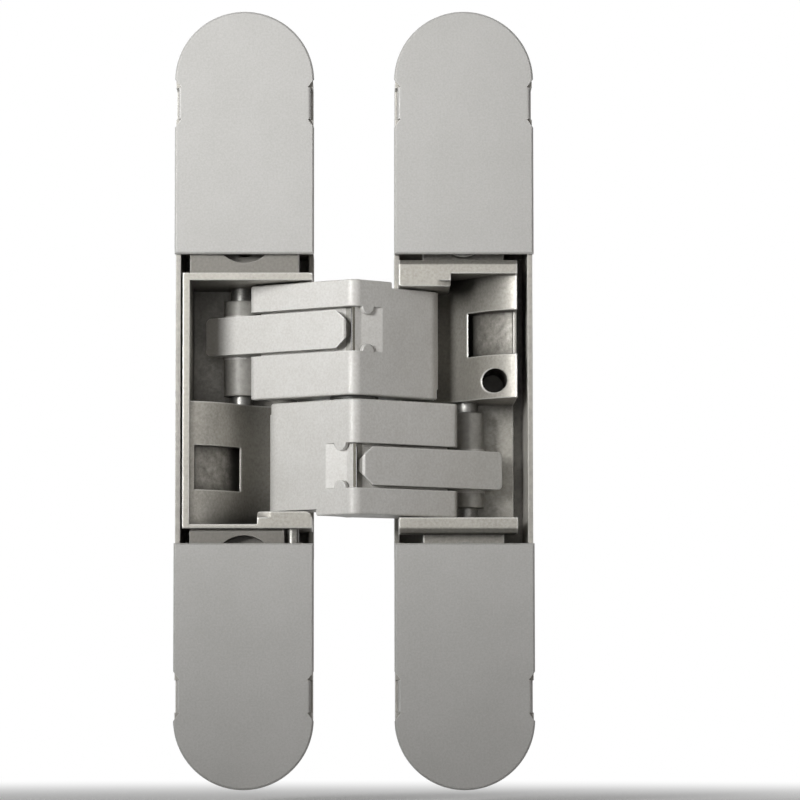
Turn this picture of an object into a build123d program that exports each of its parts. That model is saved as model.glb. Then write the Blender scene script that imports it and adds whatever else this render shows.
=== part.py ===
"""Concealed door hinge, fully open: two leaves, two sliding carriages and a seven-pin folding linkage.

X runs across the two leaves, Y into the door and Z up the hinge. Sizes are in millimetres.
"""

import math
import os

from build123d import *

os.makedirs("parts", exist_ok=True)

# Leaves
LEAF_LENGTH = 134.0
LEAF_WIDTH = 24.0
LEAF_SPREAD = 18.9  # each leaf's centre line from the middle of the open hinge
BODY_INSET = 0.2  # how far a body's edge stays inside its covers' edge
BODY_WALL = 0.85
END_WALL = 2.0  # of the deep part
BODY_FLOOR = 1.5
BODY_ROOM = 2.3  # behind a carriage
POCKET_ROOM = 1.6  # the pocket goes on under the covers
REAR_ROUND = 2.0  # corners of the deep part, which fills a routed pocket
END_DEPTH = 13.0  # depth of the shallow ends that take the fixing screws
SLIDE_FIT = 0.08  # clearance of pieces that slide on each other

# Covers
COVER_THICK = 1.0
COVER_EDGE = 0.3
CLIP_FOLD = 0.45  # outer radius of a folded clip
COVER_INNER_Z = 24.9  # straight inner end of a cover
CLIP_END = 18.7  # from the leaf's end to a clip's far side
CLIP_LENGTH = 5.5
CLIP_INSET = 0.6
CLIP_THICK = 0.8
CLIP_DEPTH = 4.0
NOTCH_DEPTH = 1.1
NOTCH_LENGTH = 1.5

# Pivot places, in a leaf's own frame: across from its centre line towards the other leaf, then out of its face
ARM_PIVOT = (7.91, -8.98)
LINK_PIVOT = (-0.85, -15.49)
LINK_EYE = (10.98, -7.15)
ARM_EYE = (10.83, -7.03)
CENTRE_PIVOT_OUT = -1.5
RIDGE_OUT = 5.5

# Pins
ARM_PIN_R = 2.25
CENTRE_PIN_R = 2.25
EYE_PIN_R = 1.75
LINK_PIN_R = 1.5
BUSH_WALL = 0.6
EYE_PLAY = 0.28  # the opened pivot between a link and its arm
EYE_PIN_LOW = 3.4  # how far an eye pin goes into each prong
EYE_PIN_HIGH = 2.6
PIN_SINK = 0.3  # a carriage's pins end this far inside its walls
CENTRE_SKIN = 0.4  # metal left behind the centre pin's holes
END_GAP = 0.05
RUN_FIT = 0.03  # radial clearance of a pin that turns

# Arms
ARM_HALF_GAP = 0.35  # each arm from the middle plane between them
ARM_HEIGHT = 19.8
INNER_PRONG = 7.5  # the prong next to the other arm
SLOT_HEIGHT = 7.7
ROOT_HUB_R = 3.6
CENTRE_HUB_R = 4.4
EYE_HUB_R = 3.5
PRONG_SLOPE = 36.0
PRONG_END = 18.5  # sideways from the ridge
PRONG_TIP = 1.9
TIP_ROUND = 1.5
RIDGE_ROUND = 1.8
EDGE_ROUND = 0.35  # long edges of the arms and tongues
WEB_ROOM = 0.25  # round the carriage's web
WEB_SKIN = 0.45  # metal in front of that room
WEB_NECK = 1.2  # half the width of the web's neck
ARM_SWING = 83.0  # degrees, from open to closed
ROOT_CUT_INNER = 1.9  # the root hub is cut back for the carriage's web
ROOT_CUT_OUTER = 1.1  # and for the boss on the carriage's end wall
BOSS_REACH = 9.6  # that boss is turned about the arm's pivot
SLOT_SWEEP = 13.2  # room for the link's tail, about the eye
RECESS_END = 4.9  # the slot's shallow end, sideways from the ridge
RECESS_START = -1.6
RECESS_FLOOR = ((-1.6, -4.0), (-0.35, -3.6), (-0.35, -4.1), (1.2, -2.9))  # beyond the tail's reach
LUG_R = 1.3
LUG_THICK = 0.7
LUG_PLACE = 2.45

# Links
TONGUE_HEIGHT = 6.6
TONGUE_THICK = 3.4
TONGUE_OUT = -7.0
TONGUE_IN = 17.05
TONGUE_ROUND = 0.9
TAIL_END = ((1.35, -3.9), (0.45, -2.3), (0.4, -1.0))
LINK_HUB_R = 3.1
LINK_HUB_LOW = 1.5
LINK_HUB_HIGH = 18.1
TAIL_CHAMFER = 1.3
LINK_EYE_WALL = 1.9
SHOULDER_DEPTH = 2.2
SHOULDER_OUT = 1.4
LINK_PIN_ROOT = 3.0
SPACER_WALL = 0.45

# Carriages
CARRIAGE_OUT = -10.6
CARRIAGE_IN = 11.7
CARRIAGE_BACK = 1.3
HUB_ROOM = 0.71  # between a link's hub and the carriage's back
SIDE_WALL = 1.2
LEDGE_Z = -0.3
TOP_ROOM = 0.3  # between the upper arm and the top wall
TOP_WALL = 1.3
BOTTOM_ROOM = 1.45  # between the lower arm and the bottom wall
BOTTOM_WALL = 0.7
INNER_EDGE_DEPTH = 15.4  # the inner side walls stop short of the arms
DEEP_IN = 10.7  # inner side of the carriages behind that edge
DEEP_IN_RIGHT = 9.7
DEEP_WALL = 1.8
BOSS_OVERLAP = 0.75  # the boss reaches past the arm's end by this much
BOSS_OUT = 2.25
BOSS_ROUND = 1.2  # its corner next to the arm
BOSS_STEP_ROUND = 0.5
WEB_THICK = 1.3
RAMP_CURVE = ((-9.4, -1.2), (-6.8, -2.5), (-4.3, -4.7), (-2.0, -7.6), (0.4, -11.2), (3.6, -14.2), (9.0, -15.3))
WINDOW_SIZE = 7.6
WINDOW_OUT = -8.6
WINDOW_Z = -11.7
WINDOW_DEEP = 3.0  # its floor follows the ramp
RIGHT_OUT = -9.2
RIGHT_IN = 11.2
RIGHT_TOP_WALL = 1.7
WALL_EDGE = 0.8  # bevel along the front of the right carriage's end walls
RIGHT_BOTTOM_WALL = 1.35
KEY_HOLE_R = 2.1
KEY_HOLE_ACROSS = -5.4
KEY_HOLE_Z = 3.4
KEY_HOLE_TURN = 25.0

# Height clamps of the left leaf
BLOCK_HALF = 9.36
BLOCK_FACE = 0.5
BLOCK_DEPTH = 8.2
BLOCK_LENGTH = 11.0
HEIGHT_TRAVEL = 2.0
CLAMP_FROM_WALL = 7.15
CLAMP_RECESS_R = 5.4
CLAMP_RECESS = 3.4
CLAMP_HEAD_R = 3.2
CLAMP_HEAD = 2.8
CLAMP_SHANK_R = 1.9
CLAMP_SHANK_END = 12.2
CLAMP_KEY_R = 1.7
CLAMP_SHANK_ROOM = 0.2
KEY_FLOOR = 0.8  # metal left under a key socket
BLOCK_STEP = 0.5  # shadow gap between the lower block and the carriage
BLOCK_STEP_DEPTH = 1.8
HEIGHT_SCREW_R = 1.1
HEIGHT_SCREW_ACROSS = 8.3
HEIGHT_SCREW_Y = 2.6
HEIGHT_NOTCH_ACROSS = 6.9
HEIGHT_NOTCH_DEPTH = 4.4
HEIGHT_NOTCH_LENGTH = 3.6

# Side clamps of the right leaf
LUG_HALF = 7.0
LUG_LENGTH = 8.0
LUG_FACE = 4.2
SIDE_TRAVEL = 1.1  # each way
SIDE_CLAMP_FROM_WALL = 4.6
SIDE_CLAMP_HEAD_R = 4.0
SIDE_CLAMP_HEAD = 3.0
SIDE_CLAMP_KEY_R = 2.0
SIDE_CLAMP_SHANK_R = 1.7
SIDE_CLAMP_END = 12.2

# Fixing holes
FIX_FROM_POCKET = 6.3  # inner hole from the end of the pocket
FIX_END = 8.5  # outer hole from the leaf's end
FIX_R = 2.4
FIX_HEAD_R = 4.6
FIX_HEAD_DEPTH = 2.6

HALF_LENGTH = LEAF_LENGTH / 2
HALF_WIDTH = LEAF_WIDTH / 2
BODY_HALF = HALF_WIDTH - BODY_INSET
POCKET_HALF = BODY_HALF - BODY_WALL
POCKET_Z = COVER_INNER_Z + POCKET_ROOM
CLIP_LOW_Z = HALF_LENGTH - CLIP_END
CARRIAGE_DEPTH = LINK_HUB_R - LINK_PIVOT[1] + HUB_ROOM + CARRIAGE_BACK
BODY_DEPTH = CARRIAGE_DEPTH + BODY_ROOM + BODY_FLOOR
ARM_END = ARM_HALF_GAP + ARM_HEIGHT
TOP_WALL_IN = ARM_END + TOP_ROOM
CARRIAGE_TOP = TOP_WALL_IN + TOP_WALL
BOTTOM_WALL_IN = -ARM_END - BOTTOM_ROOM
CARRIAGE_BOTTOM = BOTTOM_WALL_IN - BOTTOM_WALL
BOSS_FACE_Z = BOSS_OVERLAP - ARM_END
RIGHT_TOP = RIGHT_TOP_WALL - CARRIAGE_BOTTOM
RIGHT_BOTTOM = -CARRIAGE_TOP - RIGHT_BOTTOM_WALL
CLAMP_Z = CARRIAGE_TOP + CLAMP_FROM_WALL
SIDE_CLAMP_Z = RIGHT_TOP + SIDE_CLAMP_FROM_WALL
CLAMP_POCKET_Z = max(CARRIAGE_TOP, -CARRIAGE_BOTTOM) + BLOCK_LENGTH + HEIGHT_TRAVEL + 5 * SLIDE_FIT
FIX_Z_IN = CLAMP_POCKET_Z + FIX_FROM_POCKET
FIX_Z_OUT = HALF_LENGTH - FIX_END
LUG_DEPTH = BLOCK_DEPTH - SLIDE_FIT
SPACER_R = LINK_PIN_R + SPACER_WALL
WEB_R = ROOT_HUB_R - WEB_SKIN - WEB_ROOM
SLOPE = math.radians(PRONG_SLOPE)


def place(across, out):
    """X and Y of a point given in the left leaf's own frame."""
    return (across - LEAF_SPREAD, -out)


def mirrored(across, out):
    """X and Y of a point given in the right leaf's own frame."""
    return (LEAF_SPREAD - across, -out)


def slab(x0, x1, y0, y1, z0, z1, mode=Mode.ADD):
    """A box between two corners."""
    with Locations(((x0 + x1) / 2, (y0 + y1) / 2, (z0 + z1) / 2)):
        Box(abs(x1 - x0), abs(y1 - y0), abs(z1 - z0), mode=mode)


def prism(points, z0, z1, mode=Mode.ADD):
    """A closed outline in X and Y, between two heights."""
    with BuildSketch(Plane.XY.offset(min(z0, z1))) as outline:
        with BuildLine():
            Polyline(*points, close=True)
        make_face()
    extrude(outline.sketch, amount=abs(z1 - z0), mode=mode)


def post(centre, radius, z0, z1, mode=Mode.ADD):
    """An upright cylinder."""
    with Locations((centre[0], centre[1], (z0 + z1) / 2)):
        Cylinder(radius, abs(z1 - z0), mode=mode)


def plug(x, z, radius, y0, y1, mode=Mode.ADD):
    """A cylinder that runs into the door."""
    with Locations(Location((x, (y0 + y1) / 2, z), (90, 0, 0))):
        Cylinder(radius, abs(y1 - y0), mode=mode)


def hex_hole(x, z, radius, y0, y1):
    """A hexagon socket that runs into the door."""
    with BuildSketch(Plane((x, y0, z), x_dir=(1, 0, 0), z_dir=(0, 1, 0))) as socket:
        RegularPolygon(radius, 6)
    extrude(socket.sketch, amount=y1 - y0, mode=Mode.SUBTRACT)


def belt(c1, r1, c2, r2):
    """The four points where a belt leaves two round ends."""
    dx, dy = c2[0] - c1[0], c2[1] - c1[1]
    turn = math.atan2(dy, dx)
    spread = math.acos((r1 - r2) / math.hypot(dx, dy))
    ends = []
    for centre, radius, angle in ((c1, r1, turn + spread), (c2, r2, turn + spread),
                                  (c2, r2, turn - spread), (c1, r1, turn - spread)):
        ends.append((centre[0] + radius * math.cos(angle), centre[1] + radius * math.sin(angle)))
    return ends


def fan(centre, radius, start, end):
    """Points of a fan about a centre, between two angles in degrees."""
    steps = 8
    points = [centre]
    for step in range(steps + 1):
        angle = math.radians(start + (end - start) * step / steps)
        points.append((centre[0] + radius * math.cos(angle), centre[1] + radius * math.sin(angle)))
    return points


# Places in the open hinge. The lower arm turns in the left carriage, the upper link too.
left_arm_axis = place(*ARM_PIVOT)
left_link_axis = place(*LINK_PIVOT)
centre_axis = (0.0, -CENTRE_PIVOT_OUT)
ridge = (0.0, -RIDGE_OUT)
lower_eye_axis = mirrored(*ARM_EYE)
lower_link_eye = mirrored(*LINK_EYE)
right_link_axis = mirrored(*LINK_PIVOT)
arm_low = -ARM_HALF_GAP - ARM_HEIGHT
arm_high = -ARM_HALF_GAP
slot_high = arm_high - INNER_PRONG
slot_low = slot_high - SLOT_HEIGHT
slot_middle = (slot_high + slot_low) / 2
centre_end = ARM_HALF_GAP + INNER_PRONG - CENTRE_SKIN

# The root face of the lower arm leaves the ridge and touches the root hub
to_hub = math.hypot(ridge[0] - left_arm_axis[0], ridge[1] - left_arm_axis[1])
hub_turn = math.atan2(ridge[1] - left_arm_axis[1], ridge[0] - left_arm_axis[0])
touch = hub_turn - math.acos(ROOT_HUB_R / to_hub)
root_touch = (left_arm_axis[0] + ROOT_HUB_R * math.cos(touch), left_arm_axis[1] + ROOT_HUB_R * math.sin(touch))
root_normal = (math.cos(touch), math.sin(touch))
root_along = (-math.sin(touch), math.cos(touch))
prong_along = (math.cos(SLOPE), math.sin(SLOPE))
prong_inward = (-math.sin(SLOPE), math.cos(SLOPE))
prong_tip = (PRONG_END, ridge[1] + PRONG_END * math.tan(SLOPE))
prong_under = (prong_tip[0] + PRONG_TIP * prong_inward[0], prong_tip[1] + PRONG_TIP * prong_inward[1])
root_slope = abs(root_along[1] / root_along[0])
recess_end = (-RECESS_END, ridge[1] + RECESS_END * root_slope)
recess_floor = [(-side, depth) for side, depth in RECESS_FLOOR]
neck_turn = math.degrees(math.asin((WEB_NECK + WEB_ROOM) / (WEB_R + WEB_ROOM)))

with BuildPart() as lower_arm:
    post(left_arm_axis, ROOT_HUB_R, arm_low, arm_high)
    post(centre_axis, CENTRE_HUB_R, arm_low, arm_high)
    post(lower_eye_axis, EYE_HUB_R, arm_low, arm_high)
    prism(belt(left_arm_axis, ROOT_HUB_R, centre_axis, CENTRE_HUB_R), arm_low, arm_high)
    prism(belt(centre_axis, CENTRE_HUB_R, lower_eye_axis, EYE_HUB_R), arm_low, arm_high)
    prism([ridge, root_touch, left_arm_axis, centre_axis, lower_eye_axis, prong_under, prong_tip],
          arm_low, arm_high)
    # Soft ridge and prong tip, as cast and brushed
    upright = lower_arm.edges().filter_by(Axis.Z)
    fillet(upright.sort_by_distance((ridge[0], ridge[1], arm_low / 2))[0], RIDGE_ROUND)
    upright = lower_arm.edges().filter_by(Axis.Z)
    fillet(upright.sort_by_distance((prong_tip[0], prong_tip[1], arm_low / 2))[0], TIP_ROUND)
    # The long edges of the front are soft too
    front = lower_arm.faces().filter_by(lambda face: face.normal_at().Y < -0.3)
    ends = front.edges().filter_by(lambda edge: abs(edge.tangent_at(0.5).Z) < 0.01)
    fillet(ends, EDGE_ROUND)
    # Slot for the link, with a shallow recess past the ridge and two half-round lugs in it
    post(lower_eye_axis, SLOT_SWEEP, slot_low, slot_high, mode=Mode.SUBTRACT)
    prism([recess_end, (recess_end[0], ridge[1] - 1), (-RECESS_START, ridge[1] - 1)] + recess_floor,
          slot_low, slot_high, mode=Mode.SUBTRACT)
    for lug_z in (slot_low, slot_high):
        lug_at = (-LUG_PLACE, ridge[1] + LUG_PLACE * root_slope, lug_z)
        with BuildSketch(Plane(lug_at, x_dir=(0, 0, 1), z_dir=(-root_normal[0], -root_normal[1], 0))) as lug:
            Circle(LUG_R)
        extrude(lug.sketch, amount=LUG_THICK)
    # Room for the carriage's web and boss at the root
    post(left_arm_axis, WEB_R + WEB_ROOM, arm_high - ROOT_CUT_INNER, arm_high + 1, mode=Mode.SUBTRACT)
    prism(fan(left_arm_axis, 2 * ROOT_HUB_R, 90 - neck_turn, 90 + ARM_SWING + neck_turn),
          arm_high - ROOT_CUT_INNER, arm_high + 1, mode=Mode.SUBTRACT)
    post(left_arm_axis, BOSS_REACH + WEB_ROOM, arm_low - 1, arm_low + ROOT_CUT_OUTER, mode=Mode.SUBTRACT)
    # Bores
    post(left_arm_axis, ARM_PIN_R + RUN_FIT + BUSH_WALL, arm_low - 1, arm_high + 1, mode=Mode.SUBTRACT)
    post(centre_axis, CENTRE_PIN_R, arm_high - INNER_PRONG + CENTRE_SKIN, arm_high + 1, mode=Mode.SUBTRACT)
    post(lower_eye_axis, EYE_PIN_R, slot_low - EYE_PIN_LOW, slot_high + EYE_PIN_HIGH, mode=Mode.SUBTRACT)
lower_arm.part.label = "lower_arm"
export_step(lower_arm.part, "parts/lower_arm.step")

with BuildPart() as upper_arm:
    add(lower_arm.part.rotate(Axis.Y, 180))
    # The centre pin turns in a bush in this arm
    post(centre_axis, CENTRE_PIN_R + RUN_FIT + BUSH_WALL, ARM_HALF_GAP - 1, centre_end, mode=Mode.SUBTRACT)
upper_arm.part.label = "upper_arm"
export_step(upper_arm.part, "parts/upper_arm.step")

with BuildPart() as centre_pin:
    post(centre_axis, CENTRE_PIN_R, -centre_end, centre_end - END_GAP)
    chamfer(centre_pin.edges().filter_by(GeomType.CIRCLE), 0.3)
centre_pin.part.label = "centre_pin"
export_step(centre_pin.part, "parts/centre_pin.step")

with BuildPart() as centre_bush:
    post(centre_axis, CENTRE_PIN_R + RUN_FIT + BUSH_WALL, ARM_HALF_GAP, centre_end)
    post(centre_axis, CENTRE_PIN_R + RUN_FIT, 0, ARM_HEIGHT, mode=Mode.SUBTRACT)
centre_bush.part.label = "centre_bush"
export_step(centre_bush.part, "parts/centre_bush.step")

with BuildPart() as centre_washer:
    post(centre_axis, CENTRE_HUB_R - 0.2, -ARM_HALF_GAP, ARM_HALF_GAP - SLIDE_FIT)
    post(centre_axis, CENTRE_PIN_R, -1, 1, mode=Mode.SUBTRACT)
centre_washer.part.label = "centre_washer"
export_step(centre_washer.part, "parts/centre_washer.step")

with BuildPart() as lower_eye_pin:
    post(lower_eye_axis, EYE_PIN_R, slot_low - EYE_PIN_LOW, slot_high + EYE_PIN_HIGH)
lower_eye_pin.part.label = "lower_eye_pin"
export_step(lower_eye_pin.part, "parts/lower_eye_pin.step")

with BuildPart() as upper_eye_pin:
    add(lower_eye_pin.part.rotate(Axis.Y, 180))
upper_eye_pin.part.label = "upper_eye_pin"
export_step(upper_eye_pin.part, "parts/upper_eye_pin.step")

# The lower link: a tongue flush with the arm's face, an eye on the arm and a hub in the right carriage
tongue_low = slot_middle - TONGUE_HEIGHT / 2
tongue_high = slot_middle + TONGUE_HEIGHT / 2


def on_face(across, depth):
    """A point of the right leaf's frame at a depth under the arm's sloping face."""
    run = LEAF_SPREAD - across
    return (run + depth * prong_inward[0], ridge[1] + run * math.tan(SLOPE) + depth * prong_inward[1])


tail_front = on_face(TONGUE_IN, 0.0)
eye_wall = EYE_PIN_R + LINK_EYE_WALL
with BuildPart() as lower_link:
    prism([tail_front, on_face(TONGUE_OUT, 0.0), on_face(TONGUE_OUT, TONGUE_THICK)] + list(reversed(TAIL_END)),
          tongue_low, tongue_high)
    # Outer end with round corners and a soft front edge
    outer_end = on_face(TONGUE_OUT, TONGUE_THICK / 2)
    fillet(lower_link.faces().sort_by_distance((outer_end[0], outer_end[1], slot_middle))[0].edges().filter_by(
        Plane.XY), TONGUE_ROUND)
    # Inner end with its corners cut off, seen from the front
    reach = 3.0
    for corner_z, sign in ((tongue_low, 1), (tongue_high, -1)):
        with BuildSketch(Plane((tail_front[0], 0, corner_z), x_dir=(1, 0, 0), z_dir=(0, -1, 0))) as corner:
            with BuildLine():
                Polyline((TAIL_CHAMFER + reach, -reach * sign), (-reach, (TAIL_CHAMFER + reach) * sign),
                         (-reach, -reach * sign), close=True)
            make_face()
        extrude(corner.sketch, amount=CARRIAGE_DEPTH, both=True, mode=Mode.SUBTRACT)
    # A wider shoulder under the tongue fills the arm's slot
    shoulder = SLOT_HEIGHT / 2 - SLIDE_FIT
    prism([on_face(TONGUE_IN, SHOULDER_DEPTH), on_face(SHOULDER_OUT, SHOULDER_DEPTH),
           on_face(SHOULDER_OUT, TONGUE_THICK)] + list(reversed(TAIL_END[1:])),
          slot_middle - shoulder, slot_middle + shoulder)
    post(lower_link_eye, eye_wall, tongue_low, tongue_high)
    prism(belt(lower_link_eye, eye_wall, right_link_axis, LINK_HUB_R), tongue_low, tongue_high)
    prism([on_face(LINK_EYE[0] - eye_wall, TONGUE_THICK / 2), on_face(-LINK_HUB_R, TONGUE_THICK / 2),
           right_link_axis, lower_link_eye], tongue_low, tongue_high)
    post(right_link_axis, LINK_HUB_R, -LINK_HUB_HIGH, -LINK_HUB_LOW)
    post(right_link_axis, LINK_PIN_R + RUN_FIT, -LINK_HUB_HIGH - 1, -LINK_HUB_LOW + 1, mode=Mode.SUBTRACT)
    post(lower_link_eye, EYE_PIN_R + EYE_PLAY, tongue_low - 1, tongue_high + 1, mode=Mode.SUBTRACT)
lower_link.part.label = "lower_link"
export_step(lower_link.part, "parts/lower_link.step")

with BuildPart() as upper_link:
    add(lower_link.part.rotate(Axis.Y, 180))
upper_link.part.label = "upper_link"
export_step(upper_link.part, "parts/upper_link.step")

# The left carriage
out_x = CARRIAGE_OUT - LEAF_SPREAD
in_x = CARRIAGE_IN - LEAF_SPREAD
room_x = out_x + SIDE_WALL
far = CARRIAGE_DEPTH - CARRIAGE_BACK
ramp = [place(*point) for point in RAMP_CURVE]

with BuildPart() as left_carriage:
    slab(out_x, in_x, 0, CARRIAGE_DEPTH, CARRIAGE_BOTTOM, CARRIAGE_TOP)
    # Upper room for the link and the upper arm's prongs, lower room for the lower arm
    slab(room_x, in_x + 1, -1, far, LEDGE_Z, TOP_WALL_IN, mode=Mode.SUBTRACT)
    with BuildSketch(Plane.XY.offset(BOTTOM_WALL_IN)) as lower_room:
        with BuildLine():
            Spline(*ramp)
            Polyline(ramp[-1], (0, ramp[-1][1]), (0, -1), (ramp[0][0], -1), ramp[0])
        make_face()
    extrude(lower_room.sketch, amount=LEDGE_Z - BOTTOM_WALL_IN, mode=Mode.SUBTRACT)
    deep_x = DEEP_IN - LEAF_SPREAD
    slab(deep_x - DEEP_WALL, deep_x, INNER_EDGE_DEPTH, CARRIAGE_DEPTH, CARRIAGE_BOTTOM, CARRIAGE_TOP)
    # Boss and web that carry the arm's pin
    boss_x = BOSS_OUT - LEAF_SPREAD
    slab(boss_x, in_x, 0, CARRIAGE_DEPTH, BOTTOM_WALL_IN, BOSS_FACE_Z)
    sideways = left_carriage.edges().filter_by(Axis.Y)
    fillet(sideways.sort_by_distance((boss_x, 0, BOSS_FACE_Z))[0], BOSS_STEP_ROUND)
    sideways = left_carriage.edges().filter_by(Axis.Y)
    fillet(sideways.sort_by_distance((in_x, 0, BOSS_FACE_Z))[0], BOSS_ROUND)
    with BuildSketch(Plane.XY.offset(arm_low - WEB_ROOM)) as relief:
        with Locations(((boss_x + in_x + 1) / 2, left_arm_axis[1] / 2)):
            Rectangle(in_x + 1 - boss_x, left_arm_axis[1] + 1)
        with Locations(left_arm_axis):
            Circle(BOSS_REACH, mode=Mode.SUBTRACT)
    extrude(relief.sketch, amount=BOSS_FACE_Z - arm_low + 2 * WEB_ROOM, mode=Mode.SUBTRACT)
    post(left_arm_axis, WEB_R, LEDGE_Z - WEB_THICK, LEDGE_Z)
    slab(left_arm_axis[0] - WEB_NECK, left_arm_axis[0] + WEB_NECK, left_arm_axis[1], CARRIAGE_DEPTH,
         LEDGE_Z - WEB_THICK, LEDGE_Z)
    # Square window in the ramp, with a floor that keeps to the ramp's curve
    window_floor = [(x, y + WINDOW_DEEP) for x, y in ramp]
    with BuildSketch(Plane.XY.offset(WINDOW_Z - WINDOW_SIZE / 2)) as window:
        with BuildLine():
            Spline(*window_floor)
            Polyline(window_floor[-1], (ramp[-1][0], -1), (ramp[0][0], -1), window_floor[0])
        make_face()
        with Locations((WINDOW_OUT + WINDOW_SIZE / 2 - LEAF_SPREAD, 0)):
            Rectangle(WINDOW_SIZE, 2 * CARRIAGE_DEPTH, mode=Mode.INTERSECT)
    extrude(window.sketch, amount=WINDOW_SIZE, mode=Mode.SUBTRACT)
    # Behind the arms' way the carriage keeps inside the body's wall
    slab(deep_x, in_x + 1, INNER_EDGE_DEPTH - 0.5, CARRIAGE_DEPTH + 1, CARRIAGE_BOTTOM - 1, CARRIAGE_TOP + 1,
         mode=Mode.SUBTRACT)
    # Pin holes
    post(left_arm_axis, ARM_PIN_R, CARRIAGE_BOTTOM - 1, LEDGE_Z + 0.1, mode=Mode.SUBTRACT)
    post(left_link_axis, LINK_PIN_R, LEDGE_Z - LINK_PIN_ROOT, CARRIAGE_TOP + 1, mode=Mode.SUBTRACT)
left_carriage.part.label = "left_carriage"
export_step(left_carriage.part, "parts/left_carriage.step")

with BuildPart() as right_carriage:
    add(left_carriage.part.rotate(Axis.Y, 180))
    # Narrower than the left one, so that it can move sideways in its body
    right_out = LEAF_SPREAD - RIGHT_OUT
    right_in = LEAF_SPREAD - RIGHT_IN
    slab(right_out, right_out + HALF_WIDTH, -1, CARRIAGE_DEPTH + 1, -HALF_LENGTH, HALF_LENGTH, mode=Mode.SUBTRACT)
    slab(right_in, right_in - HALF_WIDTH, -1, CARRIAGE_DEPTH + 1, -HALF_LENGTH, HALF_LENGTH, mode=Mode.SUBTRACT)
    slab(LEAF_SPREAD - DEEP_IN_RIGHT, right_in - HALF_WIDTH, INNER_EDGE_DEPTH - 0.5, CARRIAGE_DEPTH + 1,
         -HALF_LENGTH, HALF_LENGTH, mode=Mode.SUBTRACT)
    # Its window is open at the outer side
    slab(LEAF_SPREAD - WINDOW_OUT, right_out + 1, -1, -RAMP_CURVE[0][1] + WINDOW_DEEP,
         -WINDOW_Z - WINDOW_SIZE / 2, -WINDOW_Z + WINDOW_SIZE / 2, mode=Mode.SUBTRACT)
    # Thicker end walls, and lugs under the covers for the side clamps
    slab(right_in, right_out, 0, LUG_DEPTH, -CARRIAGE_BOTTOM, RIGHT_TOP)
    slab(right_in, right_out, 0, LUG_DEPTH, RIGHT_BOTTOM, -CARRIAGE_TOP)
    for end in (1, -1):
        wall = RIGHT_TOP if end > 0 else RIGHT_BOTTOM
        slab(LEAF_SPREAD - LUG_HALF, LEAF_SPREAD + LUG_HALF, LUG_FACE, LUG_DEPTH, wall,
             end * (SIDE_CLAMP_Z + LUG_LENGTH / 2))
        # Long hole for the clamp's shank
        hole_r = SIDE_CLAMP_SHANK_R + SLIDE_FIT
        for side in (1, -1):
            plug(LEAF_SPREAD + side * SIDE_TRAVEL, end * SIDE_CLAMP_Z, hole_r, LUG_FACE - 1, LUG_DEPTH + 1,
                 mode=Mode.SUBTRACT)
        slab(LEAF_SPREAD - SIDE_TRAVEL, LEAF_SPREAD + SIDE_TRAVEL, LUG_FACE - 1, LUG_DEPTH + 1,
             end * SIDE_CLAMP_Z - hole_r, end * SIDE_CLAMP_Z + hole_r, mode=Mode.SUBTRACT)
    for wall in (RIGHT_TOP, RIGHT_BOTTOM):
        sideways = right_carriage.edges().filter_by(Axis.X)
        chamfer(sideways.sort_by_distance((LEAF_SPREAD, 0, wall))[0], WALL_EDGE)
    # Key hole in the ramp
    key_hole = (LEAF_SPREAD - KEY_HOLE_ACROSS, CARRIAGE_DEPTH / 3, KEY_HOLE_Z)
    with Locations(Location(key_hole, (90, 0, KEY_HOLE_TURN))):
        Cylinder(KEY_HOLE_R, CARRIAGE_DEPTH, mode=Mode.SUBTRACT)
right_carriage.part.label = "right_carriage"
export_step(right_carriage.part, "parts/right_carriage.step")

# Pins of the carriages, with their bushes and spacers
with BuildPart() as left_arm_pin:
    post(left_arm_axis, ARM_PIN_R, CARRIAGE_BOTTOM + PIN_SINK, LEDGE_Z)
left_arm_pin.part.label = "left_arm_pin"
export_step(left_arm_pin.part, "parts/left_arm_pin.step")

with BuildPart() as right_arm_pin:
    add(left_arm_pin.part.rotate(Axis.Y, 180))
right_arm_pin.part.label = "right_arm_pin"
export_step(right_arm_pin.part, "parts/right_arm_pin.step")

root_low = arm_low + ROOT_CUT_OUTER
root_high = arm_high - ROOT_CUT_INNER
with BuildPart() as lower_arm_bush:
    post(left_arm_axis, ARM_PIN_R + RUN_FIT + BUSH_WALL, root_low, root_high)
    post(left_arm_axis, ARM_PIN_R + RUN_FIT, root_low - 1, root_high + 1, mode=Mode.SUBTRACT)
lower_arm_bush.part.label = "lower_arm_bush"
export_step(lower_arm_bush.part, "parts/lower_arm_bush.step")

with BuildPart() as upper_arm_bush:
    add(lower_arm_bush.part.rotate(Axis.Y, 180))
upper_arm_bush.part.label = "upper_arm_bush"
export_step(upper_arm_bush.part, "parts/upper_arm_bush.step")

with BuildPart() as left_link_pin:
    post(left_link_axis, LINK_PIN_R, LEDGE_Z - LINK_PIN_ROOT, CARRIAGE_TOP - PIN_SINK)
left_link_pin.part.label = "left_link_pin"
export_step(left_link_pin.part, "parts/left_link_pin.step")

with BuildPart() as right_link_pin:
    add(left_link_pin.part.rotate(Axis.Y, 180))
right_link_pin.part.label = "right_link_pin"
export_step(right_link_pin.part, "parts/right_link_pin.step")

with BuildPart() as left_spacer_low:
    post(left_link_axis, SPACER_R, LEDGE_Z, LINK_HUB_LOW - SLIDE_FIT)
    post(left_link_axis, LINK_PIN_R, LEDGE_Z - 1, LINK_HUB_LOW + 1, mode=Mode.SUBTRACT)
left_spacer_low.part.label = "left_spacer_low"
export_step(left_spacer_low.part, "parts/left_spacer_low.step")

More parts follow.
